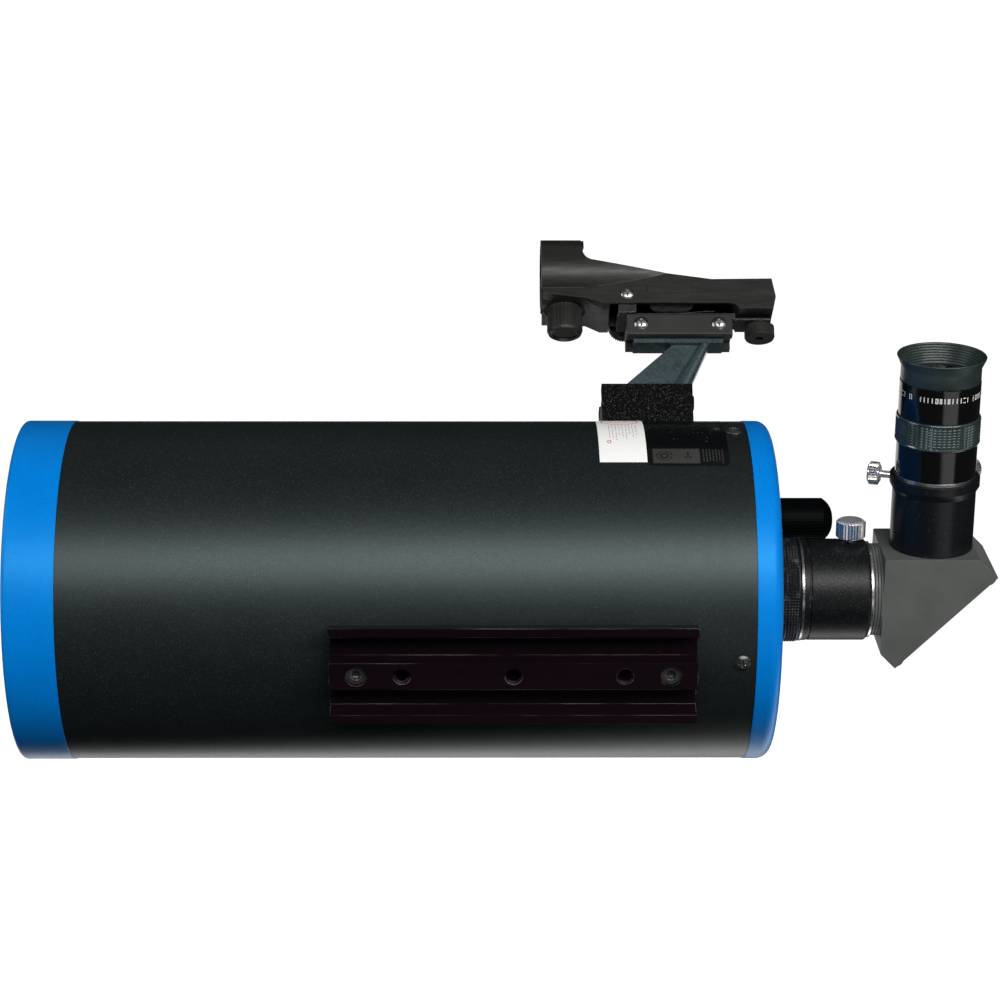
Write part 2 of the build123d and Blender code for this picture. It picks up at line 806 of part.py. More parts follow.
# ---- finder shoe, stem and clamp ----
shoe_front = 41.0
shoe_rear = 81.8
shoe_top = 92.4
shoe_half = 16.0
slot_floor = 86.2
with BuildPart() as finder_shoe:
    with BuildSketch(across(shoe_front, finder_lean)):
        with BuildLine():
            Polyline(
                (-shoe_half, tube_radius - 6),
                (shoe_half, tube_radius - 6),
                (shoe_half, shoe_top),
                (9.0, shoe_top),
                (12.0, slot_floor),
                (-12.0, slot_floor),
                (-9.0, shoe_top),
                (-shoe_half, shoe_top),
                close=True,
            )
        make_face()
    extrude(amount=shoe_rear - shoe_front)
    rod(across(0), tube_radius + 0.2, 200, Mode.SUBTRACT)
    rod(Plane(place(shoe_rear - 1, 86.0, finder_lean, -9.0), z_dir=(1, 0, 0)), 3.2, 1.9)
    rod(sideways(61.4, 89.3, finder_lean, 5), 2.0 + running_gap, 20, Mode.SUBTRACT)
    for x in shoe_screw_xs:
        rod(outward(x, 70, finder_lean), 2.05, 20, Mode.SUBTRACT)
        rod(outward(x, slot_floor - 2.6, finder_lean), 3.8, 10, Mode.SUBTRACT)

with BuildPart() as shoe_screws:
    for x in shoe_screw_xs:
        cross_screw(outward(x, slot_floor - 2.6, finder_lean), 3.6, 2.2, 2.0, 13.0)

with BuildPart() as shoe_clamp_screw:
    thumb_screw(sideways(61.4, 89.3, finder_lean, 19.0), 2.0, 6.6, 6.0, 7.0, 36)

stem_foot = 86.5
plate_low = 117.8
clamp_low = 120.0
clamp_top = 130.7
stem_plate_half = 5.8
rail_half = stem_plate_half - 0.6
rail_middle = 77.1
rail_length = 40.9
with BuildPart() as finder_stem:
    with BuildSketch(across(shoe_front + 1, finder_lean)):
        with BuildLine():
            Polyline(
                (-11.4, stem_foot),
                (11.4, stem_foot),
                (8.6, shoe_top - 0.1),
                (-8.6, shoe_top - 0.1),
                close=True,
            )
        make_face()
    extrude(amount=shoe_rear - shoe_front - 2)
    # The web leans to the rear, with a stout rounded rib along its rear edge.
    panel(
        lengthwise(finder_lean),
        [(46.3, shoe_top - 0.2), (78.0, shoe_top - 0.2), (88.5, plate_low + 0.2), (74.4, plate_low + 0.2)],
        2.6,
    )
    with BuildSketch(outward(75.4, shoe_top - 0.2, finder_lean)):
        SlotOverall(13.0, 9.0, rotation=90)
    with BuildSketch(outward(88.9, plate_low + 0.2, finder_lean)):
        SlotOverall(10.0, 4.8, rotation=90)
    loft()
    block(outward(rail_middle, plate_low, finder_lean), rail_length, 2 * stem_plate_half, 2.0)
    block(outward(rail_middle, plate_low + 2.0, finder_lean), rail_length, 2 * rail_half - 3.0, 1.4)
    block(outward(rail_middle, plate_low + 3.4, finder_lean), rail_length, 2 * rail_half, 1.6)

clamp_front = 53.5
clamp_rear = 101.5
clamp_half = 9.7
clamp_length = clamp_rear - clamp_front
clamp_middle = (clamp_front + clamp_rear) / 2
clamp_screw_xs = [60.0, 95.4]
clamp_screw_height = 125.4
with BuildPart() as finder_clamp:
    block(outward(clamp_middle, clamp_low, finder_lean), clamp_length, 2 * clamp_half, clamp_top - clamp_low)
    fillet(finder_clamp.edges().filter_by(Axis.X), radius=0.8)
    # The stem's rail lies in a slot along the underside.
    block(outward(clamp_middle, clamp_low - 1, finder_lean), 60.0, 2 * rail_half + 0.1, 4.0, Mode.SUBTRACT)
    rod(outward(finder_pan_x, clamp_top - 6, finder_lean), 3.0 + running_gap, 8, Mode.SUBTRACT)
    for x in clamp_screw_xs:
        rod(sideways(x, clamp_screw_height, finder_lean, -11), 1.6, 12, Mode.SUBTRACT)

with BuildPart() as clamp_screws:
    for x in clamp_screw_xs:
        near = Plane(
            place(x, clamp_screw_height, finder_lean, -clamp_half),
            x_dir=(1, 0, 0),
            z_dir=-side_of(finder_lean),
        )
        cross_screw(near, 3.25, 1.9, 1.55, 5.4)

# ---- finder cradle, which pans on the clamp and carries the tilting body ----
cradle_low = clamp_top + body_gap
cradle_high = cradle_low + 1.2
tab_low = 129.6
ear_outer = 10.2
ear_thick = 1.3
pin_radius = 2.0
with BuildPart() as finder_cradle:
    block(outward(76.3, cradle_low, finder_lean), 53.6, 13.0, cradle_high - cradle_low)
    rod(outward(finder_pan_x, cradle_low - 5.0, finder_lean), 3.0, 5.2)
    block(outward(finder_pivot_x, cradle_low, finder_lean), 8.0, 2 * ear_outer, cradle_high - cradle_low)
    for side in (-ear_outer + ear_thick / 2, ear_outer - ear_thick / 2):
        block(outward(finder_pivot_x, cradle_low, finder_lean, side), 8.0, ear_thick, 11.2)
    # The rear tab steps down past the clamp's end, under the body's rear foot.
    block(outward(102.5, tab_low, finder_lean), 1.2, 13.0, cradle_high - tab_low)
    block(outward(110.9, tab_low, finder_lean), 17.9, 10.0, 1.0)
    rod(outward(altitude_x, 120, finder_lean), 2.2, 12, Mode.SUBTRACT)
    rod(
        sideways(finder_pivot_x, finder_pivot_height, finder_lean, -20),
        pin_radius + running_gap,
        40,
        Mode.SUBTRACT,
    )

with BuildPart() as leaf_spring:
    spring_outline = [
        (62.0, cradle_high),
        (73.0, cradle_high),
        (90.0, 133.9),
        (94.0, 133.9),
        (94.0, 134.3),
        (89.9, 134.3),
        (72.9, cradle_high + 0.4),
        (62.0, cradle_high + 0.4),
    ]
    panel(lengthwise(finder_lean), spring_outline, 5.0)

# ---- finder body ----
body_front = 14.6
body_rear = 121.6
ring_back = 34.2
sight_height = 154.0
sight_radius = 17.0
sight_bore = 14.8
half_body = 12.4
half_hollow = 10.7
body_low = 134.8
channel_floor = 146.0
hollow_roof = 143.5
sight_face = Plane(place(0, sight_height, finder_lean), x_dir=side_of(finder_lean), z_dir=(1, 0, 0))
with BuildPart() as finder_body:
    # A round hood narrows into the straight sides of the trunk.
    hood = [
        (body_front, 0),
        (body_front, sight_radius),
        (ring_back, sight_radius),
        (80.0, half_body - 0.1),
        (80.0, 0),
    ]
    turn(sight_face, hood)
    block(outward(60.0, hollow_roof, finder_lean), 200.0, 60.0, -80.0, Mode.SUBTRACT)
    rod(sight_face.offset(body_front), sight_radius, ring_back - body_front)
    trunk = [
        (body_front + 0.6, 140.0),
        (body_front + 0.6, sight_height),
        (120.0, sight_height),
        (120.0, 147.2),
        (body_rear, 138.0),
        (120.3, 131.9),
        (104.8, 131.9),
        (104.2, 133.2),
        (102.6, 134.3),
        (100.2, body_low),
        (43.0, body_low),
        (34.6, 137.2),
    ]
    panel(lengthwise(finder_lean), trunk, half_body)
    # The underside beneath the hood hangs lower towards the far side.
    belly = [(body_front + 0.6, 139.8, 135.3), (35.4, 137.2, 134.8), (42.0, 136.2, 131.6), (45.9, 136.2, 131.6)]
    for x, near_low, far_low in belly:
        with BuildSketch(across(x, finder_lean)):
            with BuildLine():
                Polyline(
                    (-half_body, near_low),
                    (half_body, far_low),
                    (half_body, 145.0),
                    (-half_body, 145.0),
                    close=True,
                )
            make_face()
    loft(ruled=True)
    # Behind the hood the top slopes down to the level rear deck.
    with BuildSketch(lengthwise(finder_lean)) as above:
        with BuildLine():
            Line((ring_back, 190), (ring_back, 162.0))
            RadiusArc((ring_back, 162.0), (38.4, 154.7), -5.0)
            Line((38.4, 154.7), (92.6, 146.8))
            Line((92.6, 146.8), (140, 147.4))
            Line((140, 147.4), (140, 190))
            Line((140, 190), (ring_back, 190))
        make_face()
    extrude(above.sketch, amount=30, both=True, mode=Mode.SUBTRACT)
    # The sight tube opens into a channel along the top, where the lit dot is projected.
    rod(sight_face.offset(body_front - 1), sight_bore, 27.0, Mode.SUBTRACT)
    channel_front = 33.0
    channel_rear = 90.0
    block(
        outward((channel_front + channel_rear) / 2, channel_floor, finder_lean),
        channel_rear - channel_front,
        2 * half_hollow,
        30.0,
        Mode.SUBTRACT,
    )
    # The hollow underneath takes the cradle.
    block(outward(74.3, 126.0, finder_lean), 56.6, 2 * half_hollow, hollow_roof - 126.0, Mode.SUBTRACT)
    block(outward(86.0, hollow_roof, finder_lean), 8.0, 8.0, 5.2)
    rod(Plane(place(80.0, 146.8, finder_lean), z_dir=(1, 0, 0)), 1.35, 9.0, Mode.SUBTRACT)
    pivot_line = sideways(finder_pivot_x, finder_pivot_height, finder_lean, -20)
    rod(pivot_line, pin_radius + running_gap, 40, Mode.SUBTRACT)
    rod(outward(altitude_x, 126, finder_lean), 1.5 + running_gap, 14, Mode.SUBTRACT)
    rod(outward(brightness_x, 130, finder_lean), 2.0 + running_gap, 12, Mode.SUBTRACT)
    rod(outward(brightness_x, 130, finder_lean), 9.4, 7.6, Mode.SUBTRACT)
    # Blank badge recess on the near side.
    badge = Plane(place(73.0, 141.9, finder_lean, -half_body), x_dir=(1, 0, 0), z_dir=-side_of(finder_lean))
    block(badge.offset(-0.3), 21.0, 4.4, 1.0, Mode.SUBTRACT)
    block(badge.offset(-0.3), 19.8, 3.4, 0.3)

with BuildPart() as finder_lens:
    rod(sight_face.offset(20.0), sight_bore - 0.05, 2.2)

with BuildPart() as finder_emitter:
    rod(Plane(place(81.0, 146.8, finder_lean), z_dir=(1, 0, 0)), 1.3, 8.0)

with BuildPart() as coin_cell:
    rod(outward(75.0, 139.6, finder_lean), 10.0, 3.2)

with BuildPart() as brightness_knob:
    knob_low = 124.0
    fluted(outward(brightness_x, knob_low + 2.0, finder_lean), 8.15, 11.3, 30, 0.4)
    knob_foot = [
        (knob_low + 1.2, 0),
        (knob_low + 1.2, 5.2),
        (knob_low, 5.6),
        (knob_low, 6.4),
        (knob_low + 0.7, 7.5),
        (knob_low + 2.0, 8.0),
        (knob_low + 2.0, 0),
    ]
    turn(outward(brightness_x, 0, finder_lean), knob_foot)
    rod(outward(brightness_x, 137.0, finder_lean), 2.0, 2.4)

with BuildPart() as altitude_knob:
    fluted(outward(altitude_x, 123.3, finder_lean), 6.9, 4.9, 40, 0.35)
    rod(outward(altitude_x, 122.5, finder_lean), 6.5, 0.9)
    rod(outward(altitude_x, 122.0, finder_lean), 1.8, 3.0, Mode.SUBTRACT)
    rod(outward(altitude_x, 128.2, finder_lean), 1.5, 9.4)

# The azimuth screw is also the pin that the body tilts on; its retaining screw shows on the near side.
wheel_side = half_body + 5.0
with BuildPart() as azimuth_wheel:
    fluted(sideways(finder_pivot_x, finder_pivot_height, finder_lean, wheel_side), 7.4, 5.0, 40, 0.4)
    rod(sideways(finder_pivot_x, finder_pivot_height, finder_lean, half_body + 0.3), 4.6, 5.0)
    pin_face = sideways(finder_pivot_x, finder_pivot_height, finder_lean, -half_body - 0.3)
    rod(pin_face, pin_radius, wheel_side + half_body + 0.4)
    rod(pin_face.offset(-0.1), 1.25, 9.0, Mode.SUBTRACT)

with BuildPart() as pivot_screw:
    near_head = Plane(pin_face.origin, x_dir=(1, 0, 0), z_dir=-side_of(finder_lean))
    cross_screw(near_head, 2.9, 1.4, 1.22, 8.0)

# ---- labels for the nodes, and the files ----
pieces = {
    "main_tube": main_tube,
    "front_cell": front_cell,
    "corrector_plate": corrector_plate,
    "corrector_gasket": corrector_gasket,
    "corrector_retainer": corrector_retainer,
    "retainer_screws": retainer_screws,
    "secondary_holder": secondary_holder,
    "collimation_plate": collimation_plate,
    "collimation_screws": collimation_screws,
    "secondary_mirror": secondary_mirror,
    "secondary_baffle": secondary_baffle,
    "rear_cell": rear_cell,
    "cell_screws": cell_screws,
    "primary_baffle": primary_baffle,
    "mirror_carrier": mirror_carrier,
    "primary_mirror": primary_mirror,
    "mirror_lock_ring": mirror_lock_ring,
    "focus_bushing": focus_bushing,
    "focus_shaft": focus_shaft,
    "focus_knob": focus_knob,
    "rear_neck": rear_neck,
    "coupling_ring": coupling_ring,
    "union_washer": union_washer,
    "visual_back": visual_back,
    "visual_back_screw": visual_back_screw,
    "diagonal_nose": diagonal_nose,
    "diagonal_housing": diagonal_housing,
    "diagonal_prism": diagonal_prism,
    "diagonal_cover": diagonal_cover,
    "cover_screws": cover_screws,
    "eyepiece_holder": eyepiece_holder,
    "holder_screw_front": holder_screw_front,
    "holder_screw_rear": holder_screw_rear,
    "eyepiece_barrel": eyepiece_barrel,
    "eyepiece_body": eyepiece_body,
    "eyepiece_grip": eyepiece_grip,
    "eyepiece_top": eyepiece_top,
    "eyecup": eyecup,
    "field_lens": field_lens,
    "eye_lens": eye_lens,
    "dovetail_plate": dovetail_plate,
    "plate_screws": plate_screws,
    "caution_label": caution_label,
    "spec_label": spec_label,
    "finder_shoe": finder_shoe,
    "shoe_screws": shoe_screws,
    "shoe_clamp_screw": shoe_clamp_screw,
    "finder_stem": finder_stem,
    "finder_clamp": finder_clamp,
    "clamp_screws": clamp_screws,
    "finder_cradle": finder_cradle,
    "leaf_spring": leaf_spring,
    "pivot_screw": pivot_screw,
    "finder_body": finder_body,
    "finder_lens": finder_lens,
    "finder_emitter": finder_emitter,
    "coin_cell": coin_cell,
    "brightness_knob": brightness_knob,
    "altitude_knob": altitude_knob,
    "azimuth_wheel": azimuth_wheel,
}
os.makedirs("parts", exist_ok=True)
for name, piece in pieces.items():
    piece.part.label = name
    export_step(piece.part, f"parts/{name}.step")
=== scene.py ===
import math
import random

import bpy
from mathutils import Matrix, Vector


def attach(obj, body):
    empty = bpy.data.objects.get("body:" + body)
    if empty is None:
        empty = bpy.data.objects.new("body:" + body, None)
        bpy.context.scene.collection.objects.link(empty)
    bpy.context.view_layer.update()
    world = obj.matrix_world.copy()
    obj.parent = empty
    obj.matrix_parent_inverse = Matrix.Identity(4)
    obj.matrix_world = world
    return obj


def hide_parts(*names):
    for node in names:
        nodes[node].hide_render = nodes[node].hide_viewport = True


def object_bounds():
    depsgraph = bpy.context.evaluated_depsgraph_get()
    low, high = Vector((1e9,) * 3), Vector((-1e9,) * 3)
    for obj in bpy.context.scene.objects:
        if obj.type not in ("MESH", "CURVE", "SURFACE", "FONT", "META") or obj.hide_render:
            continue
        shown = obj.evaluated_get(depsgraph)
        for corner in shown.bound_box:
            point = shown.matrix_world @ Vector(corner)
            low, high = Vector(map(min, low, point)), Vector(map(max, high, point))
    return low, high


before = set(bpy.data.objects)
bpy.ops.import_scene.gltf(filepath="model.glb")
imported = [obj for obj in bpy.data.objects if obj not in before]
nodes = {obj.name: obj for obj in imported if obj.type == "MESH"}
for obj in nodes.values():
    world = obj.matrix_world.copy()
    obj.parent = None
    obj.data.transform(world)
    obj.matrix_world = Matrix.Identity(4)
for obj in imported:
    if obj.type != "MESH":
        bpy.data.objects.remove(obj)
cad_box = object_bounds()

MM = 0.001
TURN = 2 * math.pi

# ---- where the tube's and the eyepiece's axes run, by the sizes of the CAD ----
DIAGONAL_LEAN = math.radians(-20.0)
PLATE_LEAN = math.radians(-112.5)
TUBE_RADIUS = 74.0 * MM
PLATE_HEIGHT = 13.4 * MM
LABEL_RADIUS = 74.165 * MM
EYEPIECE_X = 184.2 * MM
AHEAD = Vector((1, 0, 0))


def out_of(lean):
    """Unit vector straight out from the tube's axis at a lean from straight up."""
    return Vector((0, math.sin(lean), math.cos(lean)))


def side_of(lean):
    """Unit vector square to the tube's axis and to a lean."""
    return Vector((0, math.cos(lean), -math.sin(lean)))


tube_mid = -out_of(PLATE_LEAN) * (TUBE_RADIUS + PLATE_HEIGHT)
tube_axis = (tube_mid, AHEAD, side_of(0))
eye_out = out_of(DIAGONAL_LEAN)
eye_axis = (tube_mid + AHEAD * EYEPIECE_X, eye_out, AHEAD)


def span(node, axis):
    """Where a CAD node starts and ends along an axis, in metres from the axis's origin."""
    origin, along, _ = axis
    reach = [(v.co - origin).dot(along) for v in nodes[node].data.vertices]
    return min(reach), max(reach)


def around(axis, t, radius, angle):
    """Point at a distance along an axis, a radius and an angle about it."""
    origin, along, start = axis
    across = along.cross(start)
    return origin + along * t + (start * math.cos(angle) + across * math.sin(angle)) * radius


# ---- mesh building ----
def make_piece(name, verts, faces, body, material, flat_faces):
    """New mesh object in the shared frame, riding on a body. The listed faces stay flat-shaded."""
    mesh = bpy.data.meshes.new(name)
    mesh.from_pydata([tuple(v) for v in verts], [], faces)
    mesh.validate()
    flat = set(flat_faces)
    for polygon in mesh.polygons:
        polygon.use_smooth = polygon.index not in flat
    mesh.materials.append(material)
    piece = bpy.data.objects.new(name, mesh)
    bpy.context.scene.collection.objects.link(piece)
    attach(piece, body)
    return piece


def turned(name, axis, loops, count, body, material, peaks=None):
    """Closed ring from (t, radius) loops. Peaks maps a band's first loop to the radius of its pyramids."""
    peaks = peaks or {}
    verts = []
    faces = []
    sharp = []
    for t, radius in loops:
        verts += [around(axis, t, radius, TURN * k / count) for k in range(count)]
    for i in range(len(loops)):
        j = (i + 1) % len(loops)
        for k in range(count):
            m = (k + 1) % count
            ring = (i * count + k, i * count + m, j * count + m, j * count + k)
            if i in peaks:
                t = (loops[i][0] + loops[j][0]) / 2
                verts.append(around(axis, t, peaks[i], TURN * (k + 0.5) / count))
                tip = len(verts) - 1
                for a in range(4):
                    sharp.append(len(faces))
                    faces.append((ring[a], ring[(a + 1) % 4], tip))
            else:
                faces.append(ring)
    return make_piece(name, verts, faces, body, material, sharp)


def knurled_loops(start, stop, rows, base):
    """Evenly spaced loops of one radius, for a knurled band."""
    return [(start + (stop - start) * i / rows, base) for i in range(rows + 1)]


# ---- materials ----
NOISE_LOW, NOISE_HIGH = 0.3, 0.7
NOISE_ROUGHNESS = 0.55
BEVEL_SAMPLES = 4
WEAR_SCALE = 220.0
COAT_ROUGHNESS = 0.12
GLASS_IOR = 1.52
GLASS_COAT = 0.4
GLASS_ROUGHNESS = 0.02
SMEAR_ROUGHNESS = 0.06
SMEAR_SHADE = 0.93


def link(tree, out, into):
    tree.links.new(out, into)


def node(tree, kind, **settings):
    """New shader node with its settings and unlinked inputs filled in."""
    made = tree.nodes.new(kind)
    for key, value in settings.items():
        if hasattr(made, key):
            setattr(made, key, value)
        else:
            made.inputs[key.replace("_", " ")].default_value = value
    return made


def map_range(tree, source, low, high, to_low, to_high):
    made = node(tree, "ShaderNodeMapRange")
    link(tree, source, made.inputs["Value"])
    for key, value in (("From Min", low), ("From Max", high), ("To Min", to_low), ("To Max", to_high)):
        made.inputs[key].default_value = value
    return made.outputs["Result"]


def blend_colour(tree, factor, first, second):
    """Mix of two colours or sockets by a factor socket."""
    made = node(tree, "ShaderNodeMix", data_type="RGBA")
    link(tree, factor, made.inputs[0])
    for value, into in ((first, made.inputs[6]), (second, made.inputs[7])):
        if isinstance(value, bpy.types.NodeSocket):
            link(tree, value, into)
        else:
            into.default_value = (*value, 1.0)
    return made.outputs[2]


def scaled(colour, by):
    return tuple(min(1.0, c * by) for c in colour)


def coordinates(tree, stretch):
    coord = node(tree, "ShaderNodeTexCoord")
    mapping = node(tree, "ShaderNodeMapping")
    mapping.inputs["Scale"].default_value = stretch
    link(tree, coord.outputs["Object"], mapping.inputs["Vector"])
    return mapping.outputs["Vector"]


def noise(tree, vector, scale, detail=3.0):
    made = node(tree, "ShaderNodeTexNoise")
    link(tree, vector, made.inputs["Vector"])
    made.inputs["Scale"].default_value = scale
    made.inputs["Detail"].default_value = detail
    made.inputs["Roughness"].default_value = NOISE_ROUGHNESS
    return made.outputs["Fac"]


def surface(
    name,
    colour,
    rough,
    metal=0.0,
    spec=0.5,
    tint=None,
    coat=0.0,
    mottle=0.15,
    mottle_scale=45.0,
    rough_spread=0.06,
    grain_scale=2500.0,
    grain_depth=0.02,
    grain_strength=0.35,
    stretch=(1, 1, 1),
    edge=0.25,
    worn=None,
    worn_amount=0.0,
    flake=None,
    flake_share=0.1,
    flake_scale=5000.0,
):
    """Opaque finish: mottled colour, grain, softened edges, and on request worn edges and bright flakes."""
    made = bpy.data.materials.new(name)
    made.use_nodes = True
    tree = made.node_tree
    shader = tree.nodes["Principled BSDF"]
    shader.inputs["Metallic"].default_value = metal
    shader.inputs["Specular IOR Level"].default_value = spec
    shader.inputs["Coat Weight"].default_value = coat
    shader.inputs["Coat Roughness"].default_value = COAT_ROUGHNESS
    if tint:
        shader.inputs["Specular Tint"].default_value = (*tint, 1.0)
    vector = coordinates(tree, stretch)
    cloud = noise(tree, vector, mottle_scale)
    grain = noise(tree, vector, grain_scale, detail=2.0)
    paint = blend_colour(
        tree,
        map_range(tree, cloud, NOISE_LOW, NOISE_HIGH, 0.0, 1.0),
        scaled(colour, 1 - mottle),
        scaled(colour, 1 + mottle),
    )
    roughness = map_range(tree, grain, NOISE_LOW, NOISE_HIGH, rough - rough_spread, rough + rough_spread)
    normal = None
    if edge:
        rounded = node(tree, "ShaderNodeBevel", samples=BEVEL_SAMPLES)
        rounded.inputs["Radius"].default_value = edge * MM
        normal = rounded.outputs["Normal"]
    if worn:
        # The softened normal leaves the true one at an edge, and patches of that band are worn.
        flat = node(tree, "ShaderNodeNewGeometry")
        dot = node(tree, "ShaderNodeVectorMath", operation="DOT_PRODUCT")
        link(tree, normal, dot.inputs[0])
        link(tree, flat.outputs["Normal"], dot.inputs[1])
        patchy = noise(tree, vector, WEAR_SCALE, detail=4.0)
        edge_share = map_range(tree, dot.outputs["Value"], 0.998, 0.93, 0.0, 1.0)
        keep = map_range(tree, patchy, 0.62 - worn_amount, 0.72 - 0.5 * worn_amount, 0.0, 1.0)
        both = node(tree, "ShaderNodeMath", operation="MULTIPLY")
        link(tree, edge_share, both.inputs[0])
        link(tree, keep, both.inputs[1])
        paint = blend_colour(tree, both.outputs[0], paint, worn)
    if flake:
        cells = node(tree, "ShaderNodeTexVoronoi")
        link(tree, vector, cells.inputs["Vector"])
        cells.inputs["Scale"].default_value = flake_scale
        split = node(tree, "ShaderNodeSeparateColor")
        link(tree, cells.outputs["Color"], split.inputs["Color"])
        share = map_range(tree, split.outputs[0], 1 - flake_share, 1.0, 0.0, 1.0)
        paint = blend_colour(tree, share, paint, flake)
    bump = node(tree, "ShaderNodeBump")
    bump.inputs["Strength"].default_value = grain_strength
    bump.inputs["Distance"].default_value = grain_depth * MM
    link(tree, grain, bump.inputs["Height"])
    if normal:
        link(tree, normal, bump.inputs["Normal"])
    link(tree, paint, shader.inputs["Base Color"])
    link(tree, roughness, shader.inputs["Roughness"])
    link(tree, bump.outputs["Normal"], shader.inputs["Normal"])
    return made


def clear_glass(name, colour):
    """Coated lens glass with faint smears."""
    made = bpy.data.materials.new(name)
    made.use_nodes = True
    tree = made.node_tree
    shader = tree.nodes["Principled BSDF"]
    shader.inputs["Transmission Weight"].default_value = 1.0
    shader.inputs["IOR"].default_value = GLASS_IOR
    shader.inputs["Coat Weight"].default_value = GLASS_COAT
    smear = noise(tree, coordinates(tree, (1, 1, 1)), 60.0, detail=5.0)
    share = map_range(tree, smear, 0.35, 0.65, 0.0, 1.0)
    tint = blend_colour(tree, share, colour, scaled(colour, SMEAR_SHADE))
    roughness = map_range(tree, smear, 0.4, 0.8, GLASS_ROUGHNESS, GLASS_ROUGHNESS + SMEAR_ROUGHNESS)
    link(tree, tint, shader.inputs["Base Color"])
    link(tree, roughness, shader.inputs["Roughness"])
    return made


tube_paint = surface(
    "tube_black", (0.0072, 0.0095, 0.0098), 0.43, spec=0.5, tint=(0.80, 1.0, 1.0), mottle=0.14,
    mottle_scale=30, grain_scale=2300, grain_depth=0.05, grain_strength=0.5,
    flake=(0.035, 0.042, 0.042), flake_share=0.10, flake_scale=3500, edge=0.3,
)
blue_paint = surface(
    "cell_blue", (0.0, 0.205, 0.71), 0.40, spec=0.6, tint=(0.15, 0.70, 1.0), mottle=0.05,
    grain_scale=2600, grain_depth=0.03, grain_strength=0.45, flake=(0.0, 0.32, 0.95), flake_share=0.2,
    flake_scale=5200, edge=0.5,
)
anodised = surface(
    "anodised_black", (0.0055, 0.0020, 0.0045), 0.42, spec=0.13, mottle=0.25, mottle_scale=70,
    grain_scale=1500, grain_depth=0.01, stretch=(0.08, 1, 1), worn=(0.50, 0.48, 0.48), worn_amount=0.16,
    edge=0.16,
)
anodised_plain = surface(
    "anodised_plain", (0.010, 0.010, 0.011), 0.4, spec=0.4, mottle=0.2, grain_scale=1800,
    grain_depth=0.01,
)
cast_black = surface(
    "cast_black", (0.0032, 0.0040, 0.0044), 0.42, spec=0.30, mottle=0.15, grain_scale=1500,
    grain_depth=0.09, grain_strength=0.9, rough_spread=0.1, flake=(0.05, 0.055, 0.055),
    flake_share=0.06, flake_scale=3200, edge=0.25, worn=(0.30, 0.30, 0.30), worn_amount=0.06,
)
shoe_black = surface(
    "shoe_black", (0.0010, 0.0013, 0.0013), 0.55, spec=0.06, mottle=0.3, mottle_scale=300,
    grain_scale=1100, grain_depth=0.15, grain_strength=1.0, rough_spread=0.15,
    flake=(0.06, 0.064, 0.064), flake_share=0.14, flake_scale=2700, edge=0.3,
)
housing_black = surface(
    "housing_black", (0.102, 0.108, 0.102), 0.44, spec=0.5, mottle=0.12, mottle_scale=60,
    grain_scale=2400, grain_depth=0.05, grain_strength=0.6, edge=0.35, worn=(0.20, 0.20, 0.20),
    worn_amount=0.18,
)
holder_black = surface(
    "holder_black", (0.0045, 0.006, 0.0075), 0.34, spec=0.4, mottle=0.18, grain_scale=2000,
    grain_depth=0.03, flake=(0.07, 0.07, 0.07), flake_share=0.012, flake_scale=2800, edge=0.25,
)
grip_rubber = surface(
    "grip_rubber", (0.026, 0.042, 0.042), 0.20, spec=1.0, tint=(0.85, 1.0, 1.0), coat=0.8, mottle=0.22,
    mottle_scale=150, grain_scale=2200, grain_depth=0.03, edge=0.0,
)
chrome = surface(
    "chrome_bright", (0.86, 0.85, 0.86), 0.30, metal=1.0, mottle=0.08, mottle_scale=120,
    rough_spread=0.06, grain_scale=900, grain_depth=0.006, edge=0.12,
)
knurled_chrome = surface(
    "chrome_knurled", (0.92, 0.91, 0.94), 0.14, metal=0.72, mottle=0.06, mottle_scale=160,
    rough_spread=0.04, grain_scale=900, grain_depth=0.01, edge=0.0,
)
steel = surface(
    "steel", (0.46, 0.45, 0.44), 0.3, metal=1.0, mottle=0.15, mottle_scale=200, rough_spread=0.1,
    grain_scale=1600, grain_depth=0.01, edge=0.12,
)
dim_steel = surface(
    "steel_dim", (0.10, 0.10, 0.10), 0.35, metal=1.0, mottle=0.3, mottle_scale=300, rough_spread=0.1,
    grain_scale=1600, grain_depth=0.02, edge=0.12,
)
black_steel = surface(
    "screw_black", (0.065, 0.065, 0.068), 0.28, metal=0.6, mottle=0.3, mottle_scale=400,
    grain_scale=2500, grain_depth=0.02, edge=0.2, worn=(0.6, 0.6, 0.6), worn_amount=0.3,
)
finder_plastic = surface(
    "plastic_black", (0.0200, 0.0210, 0.0185), 0.38, spec=0.28, mottle=0.3, mottle_scale=160,
    rough_spread=0.08, grain_scale=900, grain_depth=0.03, grain_strength=0.5, stretch=(0.12, 1, 1),
    edge=0.4, worn=(0.05, 0.05, 0.05), worn_amount=0.2,
)
clamp_plastic = surface(
    "clamp_plastic", (0.018, 0.019, 0.018), 0.5, spec=0.4, mottle=0.2, grain_scale=1800,
    grain_depth=0.04, edge=0.4,
)
gloss_black = surface(
    "gloss_black", (0.004, 0.004, 0.004), 0.12, spec=0.45, coat=0.25, mottle=0.1, mottle_scale=90,
    rough_spread=0.03, grain_scale=700, grain_depth=0.004, edge=0.25,
)
rubber = surface(
    "rubber_black", (0.026, 0.040, 0.039), 0.36, spec=0.6, mottle=0.22, mottle_scale=150,
    grain_scale=2200, grain_depth=0.03, edge=0.1,
)
knob_rubber = surface(
    "knob_rubber", (0.0010, 0.0014, 0.0018), 0.5, spec=0.05, mottle=0.2, grain_scale=2200,
    grain_depth=0.03, edge=0.2,
)
stem_paint = surface(
    "stem_dark", (0.034, 0.054, 0.060), 0.28, spec=0.6, coat=0.3, mottle=0.3, mottle_scale=110,
    grain_scale=1200, grain_depth=0.03, grain_strength=0.5, flake=(0.09, 0.13, 0.14), flake_share=0.08,
    flake_scale=2600, edge=0.4,
)
